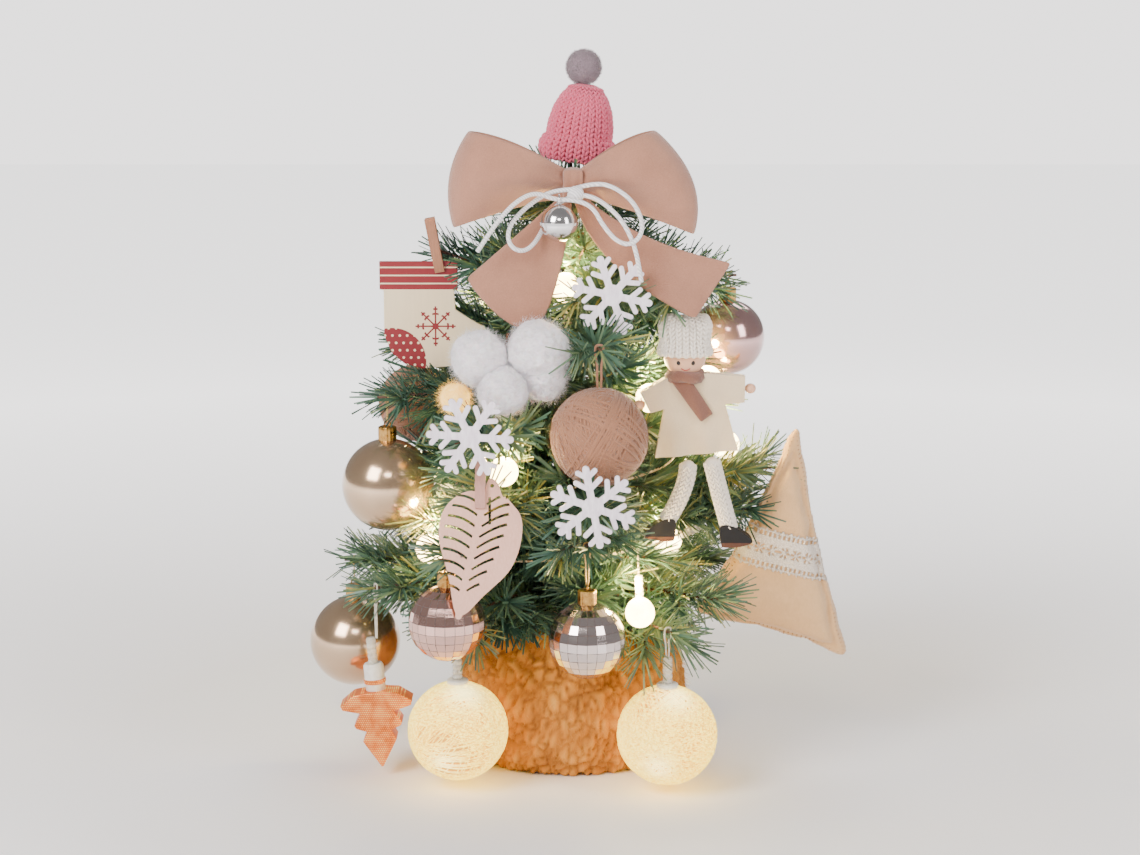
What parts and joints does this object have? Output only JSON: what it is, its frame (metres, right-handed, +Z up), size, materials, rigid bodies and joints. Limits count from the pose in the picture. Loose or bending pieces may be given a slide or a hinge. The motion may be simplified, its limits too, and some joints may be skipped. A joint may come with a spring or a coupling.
{
  "type": "artificial tabletop tree",
  "caption": "Lit artificial tabletop tree in a fur-covered pot, with a felt bow, knitted hat, baubles, yarn balls, wooden tags, a doll and a felt pillow.",
  "frame": {"origin": "centre of the pot's flat underside", "axes": "+Z up along the trunk, -Y the decorated front with the bow, +X to the viewer's right"},
  "size_m": [0.3491, 0.2593, 0.45],
  "materials": {
    "fur": "curly golden-tan sherpa fur",
    "tub": "matte brown moulded plastic",
    "plaster": "cast plaster",
    "trunk_paint": "brown-green tape over steel wire",
    "stem_wire": "rust-brown twisted wire",
    "pink_knit": "rose-pink knitted yarn",
    "grey_pompom": "fuzzy mauve-grey pompom",
    "dusty_felt": "dusty pink-tan wool felt",
    "white_cord": "smooth white cord",
    "bell_chrome": "bright chrome",
    "pellet_steel": "plain steel",
    "pearl_gold": "pearl champagne metallic gloss",
    "rose_gloss": "rose-pink metallic gloss",
    "gold_cap": "bright gold plating",
    "rose_mirror": "rose-gold mirror facets",
    "silver_mirror": "silver-pink mirror facets",
    "mohair": "fuzzy brown-pink mohair yarn",
    "painted_white": "white painted wood",
    "pale_wood": "pale pinkish laser-cut wood",
    "printed_wood": "printed wood, dark red and beige",
    "peg_wood": "stained wood",
    "spring_steel": "plain wire",
    "cotton": "soft white cotton wool",
    "husk": "dry brown husk",
    "doll_wood": "smooth peach wood",
    "cream_knit": "cream ribbed knit",
    "brown_felt": "brown felt",
    "cream_felt": "cream felt",
    "shoe_wood": "black painted wood",
    "pillow_felt": "tan wool felt",
    "lace": "white crochet lace",
    "thread_ball": "glued cotton thread, lit from inside",
    "copper_lamp": "perforated copper",
    "clear_wire": "clear insulated wire",
    "clear_socket": "clear moulded socket",
    "bulb_globe": "frosted globe, lit",
    "case_plastic": "satin white moulded plastic",
    "cell_wrap": "printed cell sleeve",
    "knob_black": "black plastic"
  },
  "bodies": {
    "root": {"base_fur_cover": "fur", "base_tub": "tub", "base_ballast": "plaster", "trunk_pole": "trunk_paint", "lower_branches": "stem_wire", "upper_branches": "stem_wire", "hanger_branches": "stem_wire", "bow_loops": "dusty_felt", "bow_tails": "dusty_felt", "bow_band": "dusty_felt", "bow_cord_left": "white_cord", "bow_cord_right": "white_cord", "bow_cord_knot": "white_cord", "snowflakes": "painted_white", "leaf_plate": "pale_wood", "sock_plate": "printed_wood", "peg_fixed_jaws": "peg_wood", "peg_springs": "spring_steel", "boll_puffs": "cotton", "boll_husk": "husk", "pillow_body": "pillow_felt", "pillow_lace": "lace", "string_wire": "clear_wire", "lamp_sockets": "clear_socket", "lamp_bulbs": "bulb_globe", "battery_case": "case_plastic", "battery_cells": "cell_wrap"},
    "hat": {"hat_knit": "pink_knit", "hat_pompom": "grey_pompom"},
    "bell": {"bell_shell": "bell_chrome"},
    "bell_pellet": {"bell_pellet": "pellet_steel"},
    "left_bauble": {"left_bauble": "pearl_gold", "left_bauble_cap": "gold_cap"},
    "lower_bauble": {"lower_bauble": "pearl_gold", "lower_bauble_cap": "gold_cap"},
    "rear_bauble": {"rear_bauble": "rose_gloss", "rear_bauble_cap": "gold_cap"},
    "left_disco_ball": {"left_disco_ball": "rose_mirror", "left_disco_ball_cap": "gold_cap"},
    "right_disco_ball": {"right_disco_ball": "silver_mirror", "right_disco_ball_cap": "gold_cap"},
    "front_yarn_ball": {"front_yarn_ball": "mohair"},
    "side_yarn_ball": {"side_yarn_ball": "mohair"},
    "cotton_light_left": {"cotton_light_left": "thread_ball"},
    "cotton_light_right": {"cotton_light_right": "thread_ball"},
    "tree_lamp": {"tree_lamp": "copper_lamp"},
    "doll": {"doll_head": "doll_wood", "doll_cap": "cream_knit", "doll_scarf": "brown_felt", "doll_coat": "cream_felt", "doll_hands": "doll_wood"},
    "doll_left_leg": {"doll_left_leg": "cream_knit", "doll_left_shoe": "shoe_wood"},
    "doll_right_leg": {"doll_right_leg": "cream_knit", "doll_right_shoe": "shoe_wood"},
    "leaf_peg_jaw": {"leaf_peg_jaw": "pale_wood"},
    "sock_peg_jaw": {"sock_peg_jaw": "peg_wood"},
    "battery_cover": {"battery_cover": "case_plastic"},
    "switch_knob": {"switch_knob": "knob_black"}
  },
  "joints": [
    {"name": "hat_lift", "type": "slide", "parent": "root", "child": "hat", "axis": [0, 0, 1], "range_m": [0, 0.07]},
    {"name": "bell_swing", "type": "hinge", "parent": "root", "child": "bell", "pos_m": [-0.0065, -0.077, 0.3615], "axis": [-1, 0, 0], "range_deg": [-3, 30]},
    {"name": "pellet_rattle", "type": "slide", "parent": "bell", "child": "bell_pellet", "axis": [0, 0, 1], "range_m": [0, 0.012]},
    {"name": "left_bauble_swing", "type": "hinge", "parent": "root", "child": "left_bauble", "pos_m": [-0.113, -0.048, 0.238], "axis": [-0.9204, -0.391, 0], "range_deg": [-8, 8]},
    {"name": "lower_bauble_swing", "type": "hinge", "parent": "root", "child": "lower_bauble", "pos_m": [-0.1385, -0.01, 0.126], "axis": [-0.9974, -0.072, 0], "range_deg": [-10, 10]},
    {"name": "rear_bauble_swing", "type": "hinge", "parent": "root", "child": "rear_bauble", "pos_m": [0.102, 0.035, 0.304], "axis": [0.9459, 0.3246, 0], "range_deg": [-10, 10]},
    {"name": "left_disco_ball_swing", "type": "hinge", "parent": "root", "child": "left_disco_ball", "pos_m": [-0.0735, -0.117, 0.152], "axis": [-0.5319, -0.8468, 0], "range_deg": [-8, 8]},
    {"name": "right_disco_ball_swing", "type": "hinge", "parent": "root", "child": "right_disco_ball", "pos_m": [0.0102, -0.112, 0.158], "axis": [0.0907, -0.9959, 0], "range_deg": [-10, 5]},
    {"name": "front_yarn_ball_swing", "type": "hinge", "parent": "root", "child": "front_yarn_ball", "pos_m": [0.0173, -0.102, 0.275], "axis": [0.1672, -0.9859, 0], "range_deg": [-6, 6]},
    {"name": "side_yarn_ball_swing", "type": "hinge", "parent": "root", "child": "side_yarn_ball", "pos_m": [-0.098, 0.008, 0.264], "axis": [-0.9967, 0.0814, 0], "range_deg": [-8, 8]},
    {"name": "cotton_light_left_swing", "type": "hinge", "parent": "root", "child": "cotton_light_left", "pos_m": [-0.0689, -0.088, 0.104], "axis": [-0.6165, -0.7874, 0], "range_deg": [-1.5, 8]},
    {"name": "cotton_light_right_swing", "type": "hinge", "parent": "root", "child": "cotton_light_right", "pos_m": [0.0594, -0.095, 0.101], "axis": [0.5302, -0.8479, 0], "range_deg": [-6, 6]},
    {"name": "tree_lamp_swing", "type": "hinge", "parent": "root", "child": "tree_lamp", "pos_m": [-0.1205, -0.061, 0.12], "axis": [-0.8922, -0.4517, 0], "range_deg": [-8, 2]},
    {"name": "doll_swing", "type": "hinge", "parent": "root", "child": "doll", "pos_m": [0.0696, -0.066, 0.303], "axis": [0.7256, -0.6881, 0], "range_deg": [-5, 5]},
    {"name": "doll_left_leg_swing", "type": "hinge", "parent": "doll", "child": "doll_left_leg", "pos_m": [0.0722, -0.066, 0.197], "axis": [-1, 0, 0], "range_deg": [-4, 20]},
    {"name": "doll_right_leg_swing", "type": "hinge", "parent": "doll", "child": "doll_right_leg", "pos_m": [0.0872, -0.066, 0.199], "axis": [-1, 0, 0], "range_deg": [-4, 20]},
    {"name": "leaf_peg_open", "type": "hinge", "parent": "root", "child": "leaf_peg_jaw", "pos_m": [-0.053, -0.117, 0.197], "axis": [-1, 0, 0], "range_deg": [0, 16], "stiffness_Nm_per_rad": 0.02, "springref_deg": -10.03},
    {"name": "sock_peg_open", "type": "hinge", "parent": "root", "child": "sock_peg_jaw", "pos_m": [-0.0832, -0.03, 0.328], "axis": [-0.9826, 0, -0.1857], "range_deg": [0, 16], "stiffness_Nm_per_rad": 0.02, "springref_deg": -10.03},
    {"name": "battery_cover_slide", "type": "slide", "parent": "root", "child": "battery_cover", "axis": [0, 0, 1], "range_m": [0, 0.06]},
    {"name": "switch_slide", "type": "slide", "parent": "root", "child": "switch_knob", "axis": [1, 0, 0], "range_m": [0, 0.003]}
  ]
}
